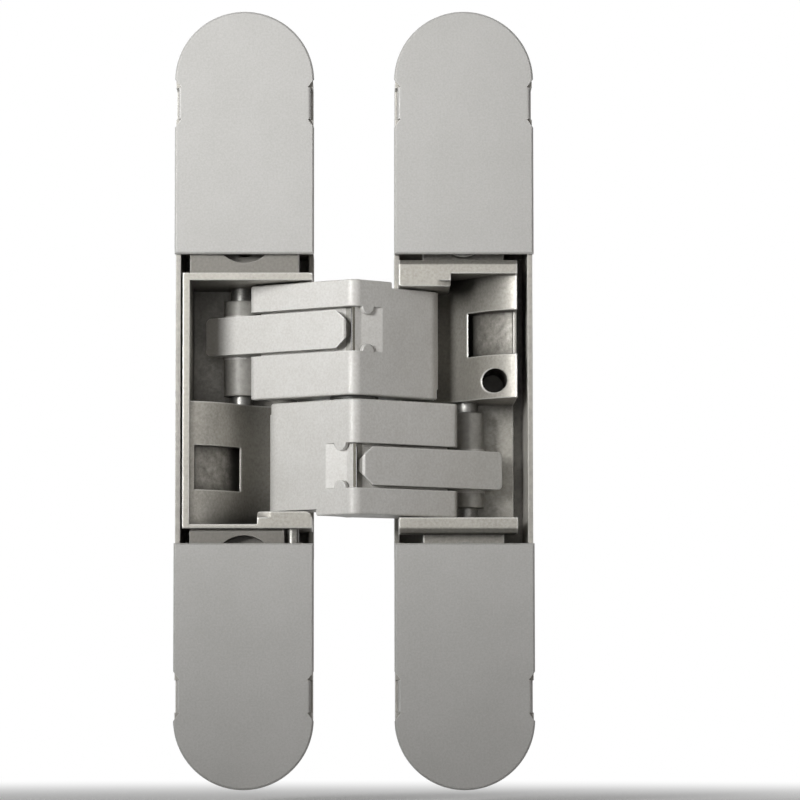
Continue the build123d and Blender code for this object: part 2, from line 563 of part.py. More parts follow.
with BuildPart() as left_spacer_high:
    post(left_link_axis, SPACER_R, LINK_HUB_HIGH + SLIDE_FIT, TOP_WALL_IN)
    post(left_link_axis, LINK_PIN_R, LINK_HUB_HIGH - 1, TOP_WALL_IN + 1, mode=Mode.SUBTRACT)
left_spacer_high.part.label = "left_spacer_high"
export_step(left_spacer_high.part, "parts/left_spacer_high.step")

with BuildPart() as right_spacer_high:
    add(left_spacer_low.part.rotate(Axis.Y, 180))
right_spacer_high.part.label = "right_spacer_high"
export_step(right_spacer_high.part, "parts/right_spacer_high.step")

with BuildPart() as right_spacer_low:
    add(left_spacer_high.part.rotate(Axis.Y, 180))
right_spacer_low.part.label = "right_spacer_low"
export_step(right_spacer_low.part, "parts/right_spacer_low.step")


def leaf_outline(half_width, z_out, z_in):
    """One end of a leaf in X and Z: a straight inner end and a half-round outer end."""
    with BuildSketch(Plane.XZ) as outline:
        with BuildLine():
            Polyline((-half_width, z_out - half_width), (-half_width, z_in), (half_width, z_in),
                     (half_width, z_out - half_width))
            ThreePointArc((half_width, z_out - half_width), (0, z_out), (-half_width, z_out - half_width))
        make_face()
    return outline.sketch


def body_core():
    """A leaf's cast body about its own centre line, before its pocket for the carriage is opened sideways."""
    extrude(leaf_outline(BODY_HALF, HALF_LENGTH - BODY_INSET, 0), amount=-END_DEPTH)
    extrude(leaf_outline(BODY_HALF, HALF_LENGTH - BODY_INSET, 0).rotate(Axis.Y, 180), amount=-END_DEPTH)
    with BuildSketch(Plane.XZ) as deep_part:
        RectangleRounded(2 * BODY_HALF, 2 * (POCKET_Z + END_WALL), REAR_ROUND)
    extrude(deep_part.sketch, amount=-BODY_DEPTH)
    slab(-POCKET_HALF, POCKET_HALF, -1, BODY_DEPTH - BODY_FLOOR, -POCKET_Z, POCKET_Z, mode=Mode.SUBTRACT)
    slab(-POCKET_HALF, POCKET_HALF, -1, BLOCK_DEPTH, -CLAMP_POCKET_Z, CLAMP_POCKET_Z, mode=Mode.SUBTRACT)
    for end in (1, -1):
        # Fixing holes with countersinks
        for fix_z in (end * FIX_Z_IN, end * FIX_Z_OUT):
            plug(0, fix_z, FIX_R, -1, END_DEPTH + 1, mode=Mode.SUBTRACT)
            with Locations(Location((0, FIX_HEAD_DEPTH / 2, fix_z), (90, 0, 0))):
                Cone(FIX_R, FIX_HEAD_R, FIX_HEAD_DEPTH, mode=Mode.SUBTRACT)
        # Recesses for the covers' clips
        for side in (1, -1):
            slab(side * (HALF_WIDTH - CLIP_INSET - CLIP_THICK), side * (BODY_HALF + 1), -1, CLIP_DEPTH + 0.1,
                 end * CLIP_LOW_Z, end * (CLIP_LOW_Z + CLIP_LENGTH), mode=Mode.SUBTRACT)


with BuildPart() as left_body:
    body_core()
    # The inner side wall stops short of the arms
    slab(POCKET_HALF - 0.5, BODY_HALF + 1, -1, INNER_EDGE_DEPTH, -POCKET_Z, POCKET_Z, mode=Mode.SUBTRACT)
    # Threaded holes for the height clamps
    for end in (1, -1):
        plug(0, end * CLAMP_Z, CLAMP_SHANK_R, BLOCK_DEPTH - 1, CLAMP_SHANK_END, mode=Mode.SUBTRACT)
left_body.part = left_body.part.moved(Location((-LEAF_SPREAD, 0, 0)))
left_body.part.label = "left_body"
export_step(left_body.part, "parts/left_body.step")

with BuildPart() as right_body:
    body_core()
    slab(-POCKET_HALF + 0.5, -BODY_HALF - 1, -1, INNER_EDGE_DEPTH, -POCKET_Z, POCKET_Z, mode=Mode.SUBTRACT)
    # Threaded holes for the side clamps
    for end in (1, -1):
        plug(0, end * SIDE_CLAMP_Z, SIDE_CLAMP_SHANK_R, BLOCK_DEPTH - 1, SIDE_CLAMP_END, mode=Mode.SUBTRACT)
right_body.part = right_body.part.moved(Location((LEAF_SPREAD, 0, 0)))
right_body.part.label = "right_body"
export_step(right_body.part, "parts/right_body.step")

# The covers are alike: a flat plate with a notched and folded clip at each long side
clip_high_z = CLIP_LOW_Z + CLIP_LENGTH
with BuildPart() as left_cover_top:
    extrude(leaf_outline(HALF_WIDTH, HALF_LENGTH, COVER_INNER_Z), amount=COVER_THICK)
    chamfer(left_cover_top.faces().sort_by(Axis.Y)[0].edges(), COVER_EDGE)
    for side in (1, -1):
        edge = side * HALF_WIDTH
        step = side * (HALF_WIDTH - CLIP_INSET)
        deep = side * (HALF_WIDTH - NOTCH_DEPTH)
        with BuildSketch(Plane.XZ) as bite:
            with BuildLine():
                Polyline((edge + side, CLIP_LOW_Z - NOTCH_LENGTH), (edge, CLIP_LOW_Z - NOTCH_LENGTH),
                         (deep, CLIP_LOW_Z), (step, CLIP_LOW_Z), (step, clip_high_z), (deep, clip_high_z),
                         (edge, clip_high_z + NOTCH_LENGTH), (edge + side, clip_high_z + NOTCH_LENGTH),
                         close=True)
            make_face()
        extrude(bite.sketch, amount=5, both=True, mode=Mode.SUBTRACT)
        slab(step, step - side * CLIP_THICK, -COVER_THICK / 2, CLIP_DEPTH, CLIP_LOW_Z + SLIDE_FIT,
             clip_high_z - SLIDE_FIT)
        upright = left_cover_top.edges().filter_by(Axis.Z)
        fold = (step, -COVER_THICK, (CLIP_LOW_Z + clip_high_z) / 2)
        fillet(upright.sort_by_distance(fold)[0], CLIP_FOLD)
left_cover_top.part = left_cover_top.part.moved(Location((-LEAF_SPREAD, 0, 0)))
left_cover_top.part.label = "left_cover_top"
export_step(left_cover_top.part, "parts/left_cover_top.step")

with BuildPart() as right_cover_top:
    add(left_cover_top.part.moved(Location((2 * LEAF_SPREAD, 0, 0))))
right_cover_top.part.label = "right_cover_top"
export_step(right_cover_top.part, "parts/right_cover_top.step")

with BuildPart() as left_cover_bottom:
    add(right_cover_top.part.rotate(Axis.Y, 180))
left_cover_bottom.part.label = "left_cover_bottom"
export_step(left_cover_bottom.part, "parts/left_cover_bottom.step")

with BuildPart() as right_cover_bottom:
    add(left_cover_top.part.rotate(Axis.Y, 180))
right_cover_bottom.part.label = "right_cover_bottom"
export_step(right_cover_bottom.part, "parts/right_cover_bottom.step")


def block_holes(end):
    """A round recess for the clamp's head, with room to slide, and a long hole for its shank."""
    plug(-LEAF_SPREAD, end * CLAMP_Z, CLAMP_RECESS_R, 0, BLOCK_FACE + CLAMP_RECESS, mode=Mode.SUBTRACT)
    half = CLAMP_SHANK_R + CLAMP_SHANK_ROOM
    slab(-LEAF_SPREAD - half, -LEAF_SPREAD + half, 0, BLOCK_DEPTH + 1, end * (CLAMP_Z - HEIGHT_TRAVEL),
         end * (CLAMP_Z + HEIGHT_TRAVEL), mode=Mode.SUBTRACT)
    for shift in (-HEIGHT_TRAVEL, HEIGHT_TRAVEL):
        plug(-LEAF_SPREAD, end * CLAMP_Z + shift, half, 0, BLOCK_DEPTH + 1, mode=Mode.SUBTRACT)


block_back = BLOCK_DEPTH - SLIDE_FIT
with BuildPart() as left_block_top:
    slab(-LEAF_SPREAD - BLOCK_HALF, -LEAF_SPREAD + BLOCK_HALF, BLOCK_FACE, block_back, CARRIAGE_TOP,
         CARRIAGE_TOP + BLOCK_LENGTH)
    block_holes(1)
left_block_top.part.label = "left_block_top"
export_step(left_block_top.part, "parts/left_block_top.step")

height_screw = (HEIGHT_SCREW_ACROSS - LEAF_SPREAD, HEIGHT_SCREW_Y)
with BuildPart() as left_block_bottom:
    slab(-LEAF_SPREAD - BLOCK_HALF, -LEAF_SPREAD + BLOCK_HALF, BLOCK_FACE, block_back, CARRIAGE_BOTTOM,
         CARRIAGE_BOTTOM - BLOCK_LENGTH)
    slab(-LEAF_SPREAD - HALF_WIDTH, -LEAF_SPREAD + HALF_WIDTH, 0, BLOCK_STEP_DEPTH, CARRIAGE_BOTTOM - BLOCK_STEP, 0,
         mode=Mode.SUBTRACT)
    # The height screw stands in an open corner
    slab(HEIGHT_NOTCH_ACROSS - LEAF_SPREAD, 0, 0, HEIGHT_NOTCH_DEPTH, CARRIAGE_BOTTOM - HEIGHT_NOTCH_LENGTH, 0,
         mode=Mode.SUBTRACT)
    post(height_screw, HEIGHT_SCREW_R, CARRIAGE_BOTTOM - BLOCK_LENGTH - 1, 0, mode=Mode.SUBTRACT)
    block_holes(-1)
left_block_bottom.part.label = "left_block_bottom"
export_step(left_block_bottom.part, "parts/left_block_bottom.step")

with BuildPart() as left_height_screw:
    post(height_screw, HEIGHT_SCREW_R, CARRIAGE_BOTTOM - BLOCK_LENGTH + 0.5, CARRIAGE_BOTTOM)
left_height_screw.part.label = "left_height_screw"
export_step(left_height_screw.part, "parts/left_height_screw.step")

head_back = BLOCK_FACE + CLAMP_RECESS - SLIDE_FIT
with BuildPart() as left_clamp_top:
    plug(-LEAF_SPREAD, CLAMP_Z, CLAMP_HEAD_R, head_back - CLAMP_HEAD, head_back)
    plug(-LEAF_SPREAD, CLAMP_Z, CLAMP_SHANK_R, head_back, CLAMP_SHANK_END)
    hex_hole(-LEAF_SPREAD, CLAMP_Z, CLAMP_KEY_R, head_back - CLAMP_HEAD, head_back - KEY_FLOOR)
left_clamp_top.part.label = "left_clamp_top"
export_step(left_clamp_top.part, "parts/left_clamp_top.step")

with BuildPart() as left_clamp_bottom:
    add(left_clamp_top.part.moved(Location((0, 0, -2 * CLAMP_Z))))
left_clamp_bottom.part.label = "left_clamp_bottom"
export_step(left_clamp_bottom.part, "parts/left_clamp_bottom.step")

side_head_back = LUG_FACE - SLIDE_FIT
side_head_face = side_head_back - SIDE_CLAMP_HEAD
with BuildPart() as right_clamp_top:
    plug(LEAF_SPREAD, SIDE_CLAMP_Z, SIDE_CLAMP_HEAD_R, side_head_face, side_head_back)
    plug(LEAF_SPREAD, SIDE_CLAMP_Z, SIDE_CLAMP_SHANK_R, side_head_back, SIDE_CLAMP_END)
    hex_hole(LEAF_SPREAD, SIDE_CLAMP_Z, SIDE_CLAMP_KEY_R, side_head_face, side_head_back - KEY_FLOOR)
right_clamp_top.part.label = "right_clamp_top"
export_step(right_clamp_top.part, "parts/right_clamp_top.step")

with BuildPart() as right_clamp_bottom:
    add(right_clamp_top.part.moved(Location((0, 0, -2 * SIDE_CLAMP_Z))))
right_clamp_bottom.part.label = "right_clamp_bottom"
export_step(right_clamp_bottom.part, "parts/right_clamp_bottom.step")
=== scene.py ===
"""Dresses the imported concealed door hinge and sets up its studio.

The CAD solids carry every shape of the hinge. This script gives them their finishes, cuts the visible thread
of the height screw, and places the lamps, the floor and the camera.
"""

from __future__ import annotations

import logging
import math
from dataclasses import dataclass, field
from enum import Enum
from typing import Any, Mapping, Optional, Sequence, Union

import bpy
from mathutils import Matrix, Vector


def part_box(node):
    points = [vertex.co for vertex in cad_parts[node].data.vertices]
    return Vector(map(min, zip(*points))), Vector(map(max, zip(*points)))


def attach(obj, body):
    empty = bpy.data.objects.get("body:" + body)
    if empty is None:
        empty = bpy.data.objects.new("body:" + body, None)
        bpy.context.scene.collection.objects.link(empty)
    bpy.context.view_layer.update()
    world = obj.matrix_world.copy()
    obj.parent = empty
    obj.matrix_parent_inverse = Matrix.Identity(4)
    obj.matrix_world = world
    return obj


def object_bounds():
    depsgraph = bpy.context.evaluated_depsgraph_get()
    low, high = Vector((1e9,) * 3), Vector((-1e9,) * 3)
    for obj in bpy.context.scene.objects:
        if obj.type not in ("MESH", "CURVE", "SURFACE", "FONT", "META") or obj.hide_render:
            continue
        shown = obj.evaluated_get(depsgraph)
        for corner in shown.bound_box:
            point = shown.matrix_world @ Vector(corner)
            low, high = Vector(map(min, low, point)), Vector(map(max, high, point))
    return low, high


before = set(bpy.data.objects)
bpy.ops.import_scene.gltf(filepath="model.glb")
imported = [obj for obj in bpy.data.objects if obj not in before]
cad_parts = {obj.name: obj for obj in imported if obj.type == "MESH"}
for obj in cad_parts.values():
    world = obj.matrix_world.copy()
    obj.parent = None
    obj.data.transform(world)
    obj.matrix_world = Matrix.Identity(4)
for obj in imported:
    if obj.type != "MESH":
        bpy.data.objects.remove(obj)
cad_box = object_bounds()

LOG = logging.getLogger("hinge")
MM = 0.001
PHOTO_SIDE = 800.0  # pixels of the square picture
WHITE = "#FFFFFF"
PALE = "#FAFAFA"

# Detail and roughness of the noises that the finishes use
GRAIN_NOISE = (2.0, 0.6)
MOTTLE_NOISE = (3.0, 0.55)
PIT_NOISE = (4.0, 0.7)
CLOUD_NOISE = (2.0, 0.5)
NOISE_CORE = (0.3, 0.7)  # where most of a noise's values lie
MOTTLE_CORE = (0.25, 0.75)
MOTTLE_SWING = 0.25  # how far the mottling moves the grain's tone, either way
GLOSS_SWING = 0.06  # how far the grain moves the roughness, either way
RELIEF_STRENGTH = 0.35
RAY_SAMPLES = 8  # of the nodes that look round a point
EDGE_DEPTH = (0.85, 0.5)  # openness seen from inside where the pale edge colour, partly worn and partly a painted highlight, starts, and where it is full
HOLLOW_AIR = (0.9, 0.25)  # openness seen from outside where the painted shade starts, and where it is full
COLOUR_A, COLOUR_B, COLOUR_OUT = 6, 7, 2  # the mix node's colour sockets, whose names aren't unique


def hex_to_linear(code: str, alpha: float = 1.0) -> tuple[float, float, float, float]:
    """Turns an sRGB hex colour into linear values.

    Args:
        code: Six hex digits with a leading hash.
        alpha: Opacity to add.

    Returns:
        Linear red, green, blue and alpha.
    """
    channels = [int(code[place:place + 2], 16) / 255.0 for place in (1, 3, 5)]
    linear = [c / 12.92 if c <= 0.04045 else ((c + 0.055) / 1.055) ** 2.4 for c in channels]
    return linear[0], linear[1], linear[2], alpha


def per_metre(size_mm: float) -> float:
    """Gives a texture scale whose pattern repeats about every size_mm."""
    return 1.0 / (size_mm * MM)


def add_node(tree: bpy.types.NodeTree, kind: str, inputs: Optional[Mapping[Any, Any]] = None,
             **settings: Any) -> bpy.types.Node:
    """Adds one node with its settings, values and links.

    Args:
        tree: Tree that takes the node.
        kind: Blender's name of the node type.
        inputs: Socket name or number, to a value or to an output socket to link from.
        **settings: Properties of the node itself.

    Returns:
        The new node.
    """
    node = tree.nodes.new(kind)
    for name, value in settings.items():
        setattr(node, name, value)
    for socket, value in (inputs or {}).items():
        if isinstance(value, bpy.types.NodeSocket):
            tree.links.new(value, node.inputs[socket])
        else:
            node.inputs[socket].default_value = value
    return node


def noise(tree: bpy.types.NodeTree, place: bpy.types.NodeSocket, size_mm: float, detail: float,
          roughness: float) -> bpy.types.NodeSocket:
    """Adds a noise.

    Args:
        tree: Tree that takes the node.
        place: Object coordinates.
        size_mm: Size of the noise's pattern.
        detail: Octaves of the noise.
        roughness: Weight of its finer octaves.

    Returns:
        The noise's output.
    """
    return add_node(tree, "ShaderNodeTexNoise", {
        "Vector": place, "Scale": per_metre(size_mm), "Detail": detail, "Roughness": roughness}).outputs["Fac"]


def compute(tree: bpy.types.NodeTree, operation: str, *values: Any, clamp: bool = False) -> bpy.types.NodeSocket:
    """Adds a sum or another operation on numbers.

    Args:
        tree: Tree that takes the node.
        operation: Blender's name of the operation.
        *values: Numbers or output sockets.
        clamp: Whether the result is kept from 0 to 1.

    Returns:
        The result's output.
    """
    node = add_node(tree, "ShaderNodeMath", dict(enumerate(values)), operation=operation, use_clamp=clamp)
    return node.outputs["Value"]


def remap(tree: bpy.types.NodeTree, value: bpy.types.NodeSocket, given: tuple[float, float],
          wanted: tuple[float, float] = (0.0, 1.0), **settings: Any) -> bpy.types.NodeSocket:
    """Adds a map from one range to another, which stays inside the second.

    Args:
        tree: Tree that takes the node.
        value: Output to map.
        given: Two values of the input.
        wanted: What those two become.
        **settings: Properties of the node itself.

    Returns:
        The mapped output.
    """
    return add_node(tree, "ShaderNodeMapRange", {
        "Value": value, "From Min": given[0], "From Max": given[1], "To Min": wanted[0], "To Max": wanted[1]},
        **settings).outputs["Result"]


def mix(tree: bpy.types.NodeTree, share: bpy.types.NodeSocket, first: Any, second: Any) -> bpy.types.NodeSocket:
    """Adds a mix of two colours.

    Args:
        tree: Tree that takes the node.
        share: Share of the second colour.
        first: Linear colour or output socket.
        second: Linear colour or output socket.

    Returns:
        The mixed colour's output.
    """
    node = add_node(tree, "ShaderNodeMix", {"Factor": share, COLOUR_A: first, COLOUR_B: second}, data_type="RGBA")
    return node.outputs[COLOUR_OUT]


def openness(tree: bpy.types.NodeTree, reach_mm: float, inside: bool) -> bpy.types.NodeSocket:
    """Adds a measure of how open a piece's own surface is round a point.

    Args:
        tree: Tree that takes the node.
        reach_mm: How far it looks.
        inside: Whether it looks into the solid, where outer edges are thin, or out of it, into the hollows.

    Returns:
        An output from 0, closed in, to 1, open.
    """
    return add_node(tree, "ShaderNodeAmbientOcclusion", {"Distance": reach_mm * MM}, samples=RAY_SAMPLES,
                    inside=inside, only_local=True).outputs["AO"]


def seen_by_eye(tree: bpy.types.NodeTree) -> bpy.types.NodeSocket:
    """Adds a switch that is 1 where a surface is seen, straight or in gloss or glass, and 0 where it only lights.

    Args:
        tree: Tree that takes the nodes.

    Returns:
        The switch's output.
    """
    ray = add_node(tree, "ShaderNodeLightPath").outputs
    seen = compute(tree, "MAXIMUM", ray["Is Camera Ray"], ray["Is Glossy Ray"])
    return compute(tree, "MAXIMUM", seen, ray["Is Transmission Ray"])


class Surface(Enum):
    """Surfaces that the hinge's pieces have."""

    COVER = "silver_lacquer_on_stamped_cover"
    ARM = "silver_lacquer_on_cast_arm"
    LINK = "silver_lacquer_on_cast_link"
    CARRIAGE = "silver_lacquer_in_carriage"
    BODY = "die_cast_zinc_body"
    BLOCK = "die_cast_zinc_block"
    PIN = "ground_steel_pin"
    SCREW = "zinc_plated_screw"
    BUSH = "acetal_bush"


@dataclass(frozen=True)
class SkinAndShadePatch:
    """A patch that takes its own mottled colours, alike on a piece and on its twin turned half round: as-cast
    surface in the carriages' windows, painted shade at the arms' slot end.

    Attributes:
        across_mm: Middle of the patch from the hinge's middle, to the right on the upper piece.
        up_mm: Middle of the patch from the hinge's middle, up on the upper piece.
        half_across_mm: Half the width of the patch.
        half_up_mm: Half the height of the patch.
    """

    across_mm: float
    up_mm: float
    half_across_mm: float
    half_up_mm: float

    def mask(self, tree: bpy.types.NodeTree, place: bpy.types.NodeSocket) -> bpy.types.NodeSocket:
        """Adds a mask that is 1 inside the patch and 0 outside it.

        Args:
            tree: Tree that takes the nodes.
            place: Object coordinates.

        Returns:
            The mask's output.
        """
        axes = add_node(tree, "ShaderNodeSeparateXYZ", {"Vector": place}).outputs
        twin = compute(tree, "SIGN", axes["Z"])
        across = compute(tree, "COMPARE", compute(tree, "MULTIPLY", axes["X"], twin),
                         self.across_mm * MM, self.half_across_mm * MM)
        up = compute(tree, "COMPARE", compute(tree, "MULTIPLY", axes["Z"], twin),
                     self.up_mm * MM, self.half_up_mm * MM)
        return compute(tree, "MULTIPLY", across, up)


@dataclass(frozen=True)
class ShadedBarrel:
    """All of each link but its tongue, darkened with painted shade: the barrel and the tail.

    Attributes:
        up_mm: Middle of the tongue from the hinge's middle, up on one link and down on the other.
        half_mm: Half the height of the tongue.
        tip_mm: The tongue's tip from the hinge's middle, sideways.
    """

    up_mm: float
    half_mm: float
    tip_mm: float

    def mask(self, tree: bpy.types.NodeTree, place: bpy.types.NodeSocket) -> bpy.types.NodeSocket:
        """Adds a mask that is 1 on the barrel and the tail, and 0 on the tongue.

        Args:
            tree: Tree that takes the nodes.
            place: Object coordinates.

        Returns:
            The mask's output.
        """
        axes = add_node(tree, "ShaderNodeSeparateXYZ", {"Vector": place}).outputs
        level = compute(tree, "COMPARE", compute(tree, "ABSOLUTE", axes["Z"]), self.up_mm * MM, self.half_mm * MM)
        short = compute(tree, "GREATER_THAN", compute(tree, "ABSOLUTE", axes["X"]), self.tip_mm * MM)
        return compute(tree, "SUBTRACT", 1.0, compute(tree, "MULTIPLY", level, short))


@dataclass(frozen=True)
class Finish:
    """A finish with a fine grain, slow mottling, soft pale edges that are partly worn and partly a painted
    highlight, painted shade in its hollows and a light relief.

    Attributes:
        surface: Name of the surface.
        base: Main colour.
        shade: Darker colour of the grain's hollows.
        wear_and_highlight: Colour of the pale edges, partly worn and partly a painted highlight.
        metallic: Share of bare metal in the look.
        roughness: Middle roughness.
        grain_mm: Size of the fine grain.
        mottle_mm: Size of the slow mottling.
        relief_mm: Height of the grain.
        edge_mm: Radius of the soft edges.
        wear_and_highlight_share: How far edges take that pale colour.
        hollow_shade: Colour of the painted shade in the hollows.
        hollow_shade_mm: How far from a surface its hollows are looked for, or 0 where no shade is painted.
        hollow_shade_share: How far the deepest hollows take the painted shade's colour.
        skin_and_shade: Colour of the patch's lighter spots: as-cast surface on the bodies and in the carriages'
            windows, painted shade on the arms and links.
        pits_and_shade: Colour of the patch's darker spots: pits of the as-cast surface, and painted shade on the
            arms and links.
        skin_and_shade_mm: Size of the patch's mottling, or 0 where there is none.
        patch: The only place that takes these mottled colours, or None where all of the piece does.
    """

    surface: Surface
    base: str
    shade: str
    wear_and_highlight: str
    metallic: float
    roughness: float
    grain_mm: float
    mottle_mm: float
    relief_mm: float
    edge_mm: float = 0.25
    wear_and_highlight_share: float = 0.6
    hollow_shade: str = "#3E3C38"
    hollow_shade_mm: float = 0.0
    hollow_shade_share: float = 0.8
    skin_and_shade: str = "#A6A39C"
    pits_and_shade: str = "#6E6B65"
    skin_and_shade_mm: float = 0.0
    patch: Optional[Union[SkinAndShadePatch, ShadedBarrel]] = None

    def build(self) -> bpy.types.Material:
        """Builds the finish as a material on Object coordinates.

        Returns:
            The finished material.
        """
        material = bpy.data.materials.new(self.surface.value)
        material.use_nodes = True
        tree = material.node_tree
        tree.nodes.clear()
        place = add_node(tree, "ShaderNodeTexCoord").outputs["Object"]
        grain = noise(tree, place, self.grain_mm, *GRAIN_NOISE)
        mottle = noise(tree, place, self.mottle_mm, *MOTTLE_NOISE)
        slow = remap(tree, mottle, MOTTLE_CORE, (-MOTTLE_SWING, MOTTLE_SWING))
        blend = compute(tree, "ADD", remap(tree, grain, NOISE_CORE), slow, clamp=True)
        tone = mix(tree, blend, hex_to_linear(self.shade), hex_to_linear(self.base))
        # Outer edges are thin seen from inside the solid, so there the colour turns pale: partly worn, partly a
        # painted highlight
        rubbed_and_highlit = remap(tree, openness(tree, self.edge_mm, inside=True), EDGE_DEPTH, (0.0, self.wear_and_highlight_share))
        height = grain
        if self.skin_and_shade_mm:
            # Mottled patch: an as-cast surface with flow marks and pits on the bodies and in the carriages'
            # windows, painted shade at the arms' slot end and on the links' barrels
            deep = remap(tree, noise(tree, place, self.skin_and_shade_mm, *PIT_NOISE), NOISE_CORE)
            skin_and_shade_tone = mix(tree, deep, hex_to_linear(self.skin_and_shade), hex_to_linear(self.pits_and_shade))
            if self.patch:
                share = self.patch.mask(tree, place)
                tone = mix(tree, share, tone, skin_and_shade_tone)
                deep = compute(tree, "MULTIPLY", deep, share)
                # Edges inside the patch take no pale colour, neither worn nor painted highlight
                rubbed_and_highlit = compute(tree, "MULTIPLY", rubbed_and_highlit, compute(tree, "SUBTRACT", 1.0, share))
            else:
                tone = skin_and_shade_tone
            height = compute(tree, "ADD", height, deep)
        if self.hollow_shade_mm:
            # Painted shade: hollows darken by how closed in they are
            painted_hollow_shade = remap(tree, openness(tree, self.hollow_shade_mm, inside=False), HOLLOW_AIR, (0.0, self.hollow_shade_share))
            tone = mix(tree, painted_hollow_shade, tone, hex_to_linear(self.hollow_shade))
        # Pale edges: partly worn, partly a painted highlight where edges catch the light
        tone = mix(tree, rubbed_and_highlit, tone, hex_to_linear(self.wear_and_highlight))
        gloss = remap(tree, blend, (0.0, 1.0), (self.roughness + GLOSS_SWING, self.roughness - GLOSS_SWING))
        soft = add_node(tree, "ShaderNodeBevel", {"Radius": self.edge_mm * MM}, samples=RAY_SAMPLES)
        relief = add_node(tree, "ShaderNodeBump", {
            "Height": height, "Strength": RELIEF_STRENGTH, "Distance": self.relief_mm * MM,
            "Normal": soft.outputs["Normal"]})
        shader = add_node(tree, "ShaderNodeBsdfPrincipled", {
            "Base Color": tone, "Metallic": self.metallic, "Roughness": gloss,
            "Normal": relief.outputs["Normal"]})
        add_node(tree, "ShaderNodeOutputMaterial", {"Surface": shader.outputs["BSDF"]})
        return material


# Silver lacquer: aluminium-pigment paint on zinc, matt and even, with a fine sparkle and pale edges, partly worn
# and partly a painted highlight.
# The real pigment is finer than a pixel, so its grain is drawn at about a third of a millimetre to show.
FINISHES = (
    Finish(Surface.COVER, base="#B7B6B4", shade="#ACABA8", wear_and_highlight="#E6E5E1", metallic=0.06, roughness=0.5,
           grain_mm=0.32, mottle_mm=9.0, relief_mm=0.02, edge_mm=0.2, wear_and_highlight_share=0.5),
    # Painted shade darkens the edge at the slot's end
    Finish(Surface.ARM, base="#D6D5D2", shade="#C8C6C2", wear_and_highlight="#FAF9F7", metallic=0.06, roughness=0.48,
           grain_mm=0.4, mottle_mm=6.0, relief_mm=0.03, edge_mm=0.35, wear_and_highlight_share=0.55,
           skin_and_shade="#77746A", pits_and_shade="#615E55", skin_and_shade_mm=0.9, patch=SkinAndShadePatch(-0.3, 11.7, 0.45, 3.75)),
    # Painted shade darkens each link's barrel and tail
    Finish(Surface.LINK, base="#D6D5D2", shade="#C8C6C2", wear_and_highlight="#FAF9F7", metallic=0.06, roughness=0.48,
           grain_mm=0.4, mottle_mm=6.0, relief_mm=0.03, edge_mm=0.35, wear_and_highlight_share=0.55,
           skin_and_shade="#ABA9A4", pits_and_shade="#93918C", skin_and_shade_mm=0.9, patch=ShadedBarrel(11.7, 3.85, 1.4)),
    # The windows in the ramps have a raw floor, and painted shade darkens the carriage's hollows
    Finish(Surface.CARRIAGE, base="#A8A59E", shade="#94918A", wear_and_highlight="#F2F1ED", metallic=0.55, roughness=0.44,
           grain_mm=0.5, mottle_mm=5.0, relief_mm=0.04, edge_mm=0.45, wear_and_highlight_share=0.7,
           hollow_shade_mm=10.0, hollow_shade_share=0.9, skin_and_shade_mm=1.1, patch=SkinAndShadePatch(23.7, 11.7, 3.85, 3.85)),
    # Die-cast zinc as it leaves the mould: grey, uneven, with flow marks and pits
    Finish(Surface.BODY, base="#B4B1AA", shade="#A19E97", wear_and_highlight="#DDDBD6", metallic=0.15, roughness=0.5,
           grain_mm=0.5, mottle_mm=4.0, relief_mm=0.05, edge_mm=0.25, wear_and_highlight_share=0.6,
           skin_and_shade="#B4B1AA", pits_and_shade="#989590", skin_and_shade_mm=1.1),
    # The block's zinc grey is darkened further as painted shade, for the cover's edge above it
    Finish(Surface.BLOCK, base="#7D7A74", shade="#6F6C66", wear_and_highlight="#C6C4BF", metallic=0.1, roughness=0.45,
           grain_mm=0.5, mottle_mm=5.0, relief_mm=0.03, edge_mm=0.25, wear_and_highlight_share=0.5),
    # Ground steel: bare, fine and even
    Finish(Surface.PIN, base="#9C9B98", shade="#83827F", wear_and_highlight="#D5D4D1", metallic=0.75, roughness=0.42,
           grain_mm=0.25, mottle_mm=3.0, relief_mm=0.01, edge_mm=0.15, wear_and_highlight_share=0.3),
    Finish(Surface.SCREW, base="#8F8E8A", shade="#6F6E6A", wear_and_highlight="#C5C4C0", metallic=0.8, roughness=0.38,
           grain_mm=0.3, mottle_mm=2.5, relief_mm=0.02, edge_mm=0.15, wear_and_highlight_share=0.4),
    # Acetal: dense dark plastic with a waxy, even surface
    Finish(Surface.BUSH, base="#34332F", shade="#292826", wear_and_highlight="#4A4945", metallic=0.0, roughness=0.5,
           grain_mm=0.5, mottle_mm=4.0, relief_mm=0.02, edge_mm=0.15, wear_and_highlight_share=0.3),
)


@dataclass
class Dressing:
    """A sub-assembly of CAD nodes and the surfaces that they get.

    Attributes:
        title: What the sub-assembly is.
        surfaces: Node name to surface.
    """

    title: str
    surfaces: Mapping[str, Surface]

    def dress(self, materials: Mapping[Surface, bpy.types.Material]) -> None:
        """Puts each node's finish on its object.

        Args:
            materials: Surface to finished material.
        """
        for node, surface in self.surfaces.items():
            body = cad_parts[node]
            body.data.materials.clear()
            body.data.materials.append(materials[surface])
            LOG.info("%s: %s has %s", self.title, node, surface.value)


def leaf_surfaces(side: str) -> dict[str, Surface]:
    """Lists the surfaces of one leaf's body, covers and carriage.

    Args:
        side: left or right.

    Returns:
        Node name to surface.
    """
    return {
        f"{side}_body": Surface.BODY,
        f"{side}_cover_top": Surface.COVER,
        f"{side}_cover_bottom": Surface.COVER,
        f"{side}_carriage": Surface.CARRIAGE,
        f"{side}_arm_pin": Surface.PIN,
        f"{side}_link_pin": Surface.PIN,
        f"{side}_spacer_low": Surface.PIN,
        f"{side}_spacer_high": Surface.PIN,
    }


